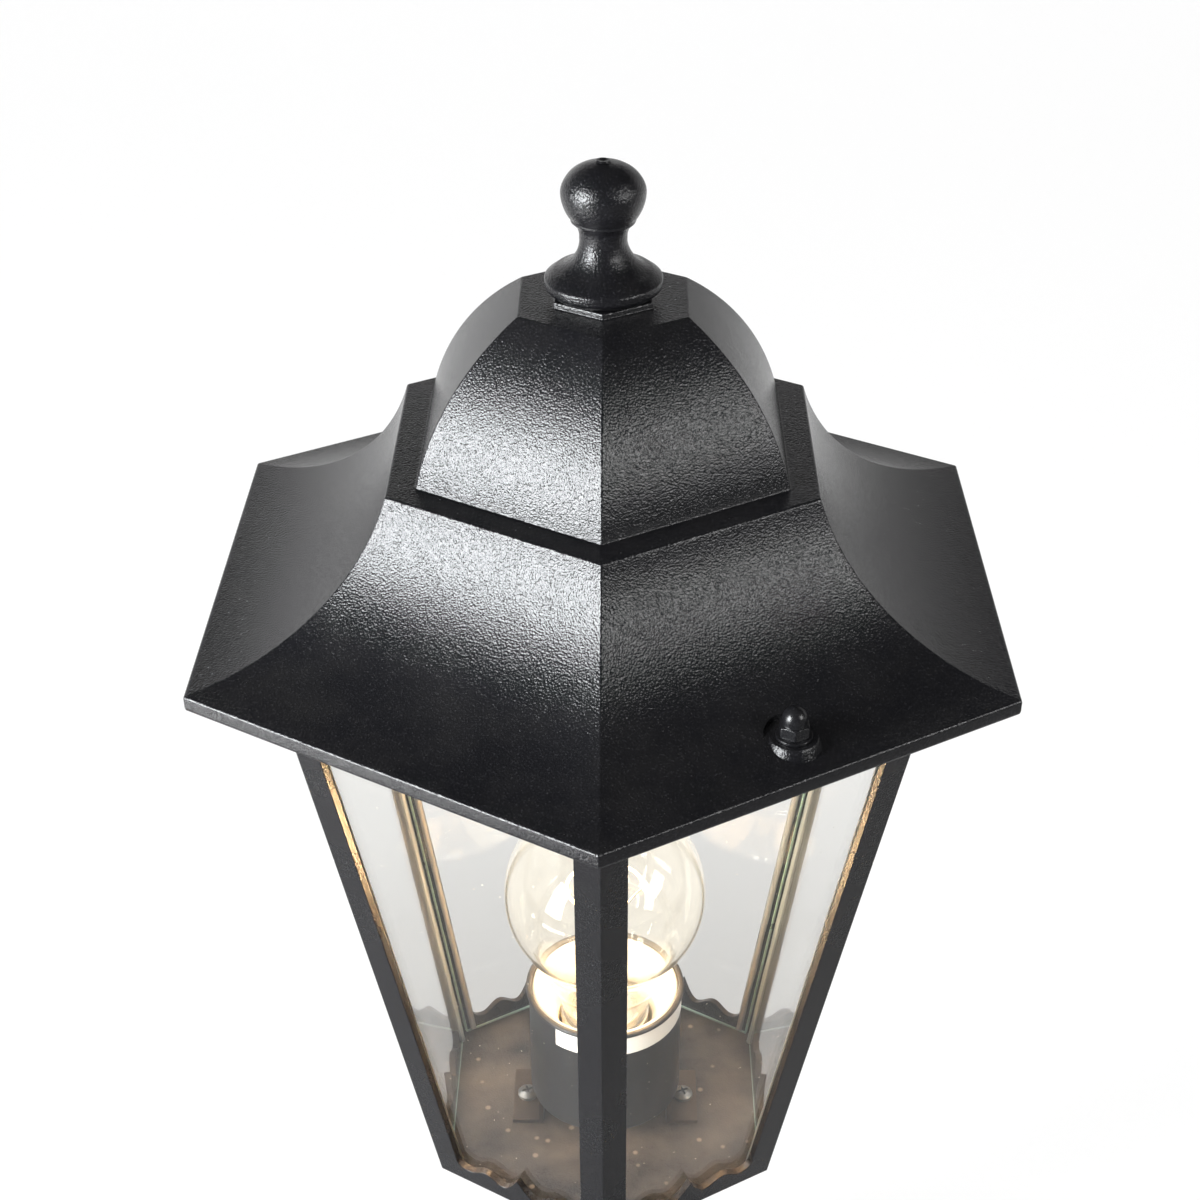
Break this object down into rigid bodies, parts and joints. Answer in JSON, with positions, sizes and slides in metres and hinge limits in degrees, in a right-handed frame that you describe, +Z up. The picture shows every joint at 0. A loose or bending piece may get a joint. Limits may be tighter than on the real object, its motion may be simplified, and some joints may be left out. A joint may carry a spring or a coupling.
{
  "type": "pedestal lantern",
  "caption": "Six-sided glazed garden lantern with a curved hollow roof, ball finial and globe bulb, on a round hollow pedestal with a fixing flange.",
  "frame": {"origin": "centre of the underside of the pedestal, on the ground", "axes": "+Z up along the lantern's axis; a corner of the six-sided roof and body points along -Y, where the picture was taken from"},
  "size_m": [0.2078, 0.24, 0.4603],
  "materials": {
    "black_casting": "cast, with a matt black sand-textured powder coat",
    "steel": "zinc plated",
    "black_nut": "satin black over steel",
    "window_glass": "clear float glass",
    "sealant": "clear silicone, gone milky",
    "sleeve": "dark enamelled sheet",
    "ceramic": "glazed white",
    "brass": "stamped, dull",
    "pale_band": "plain film",
    "lamp_glass": "clear blown glass",
    "lamp_metal": "stamped, dull",
    "lamp_insulator": "black glass bead",
    "filament": "drawn wire",
    "rubber": "matt black",
    "terminal": "moulded",
    "lead_brown": "insulation",
    "lead_blue": "insulation",
    "lead_green": "insulation"
  },
  "bodies": {
    "lantern": {"frame_casting": "black_casting", "glass_pane_1": "window_glass", "glass_pane_2": "window_glass", "glass_pane_3": "window_glass", "glass_pane_4": "window_glass", "glass_pane_5": "window_glass", "glass_pane_6": "window_glass", "pane_sealant": "sealant", "roof_studs": "steel", "holder_sleeve": "sleeve", "holder_insert": "ceramic", "holder_shell": "brass", "holder_contact": "brass", "holder_band": "pale_band", "holder_bridge": "steel", "bridge_screws": "steel", "holder_screws": "steel", "pedestal_casting": "black_casting", "bowl_seal": "rubber", "threaded_tube": "steel", "tube_nut_upper": "brass", "tube_nut_lower": "brass", "tube_washers": "steel", "terminal_block": "terminal", "terminal_screw": "steel", "earth_screw": "brass", "lead_live": "lead_brown", "lead_neutral": "lead_blue", "lead_earth": "lead_green"},
    "roof": {"roof_casting": "black_casting", "finial": "black_casting", "finial_screw": "steel", "finial_washer": "steel", "roof_washers": "steel"},
    "nut_front": {"cap_nut_front": "black_nut"},
    "nut_rear": {"cap_nut_rear": "black_nut"},
    "bulb": {"bulb_glass": "lamp_glass", "bulb_cap": "lamp_metal", "bulb_insulator": "lamp_insulator", "bulb_tip": "lamp_metal", "bulb_stem": "lamp_glass", "bulb_filament": "filament"}
  },
  "joints": [
    {"name": "roof_lift", "type": "slide", "parent": "lantern", "child": "roof", "axis": [0, 0, 1], "range_m": [0, 0.06]},
    {"name": "nut_front_turn", "type": "hinge", "parent": "roof", "child": "nut_front", "pos_m": [0.046, -0.07967, 0.3478], "axis": [0, 0, 1], "range_deg": [0, 2520]},
    {"name": "nut_rear_turn", "type": "hinge", "parent": "roof", "child": "nut_rear", "pos_m": [-0.046, 0.07967, 0.3478], "axis": [0, 0, 1], "range_deg": [0, 2520]},
    {"name": "bulb_unscrew", "type": "hinge", "parent": "lantern", "child": "bulb", "pos_m": [0, 0, 0.17], "axis": [0, 0, 1], "range_deg": [0, 1080]}
  ]
}
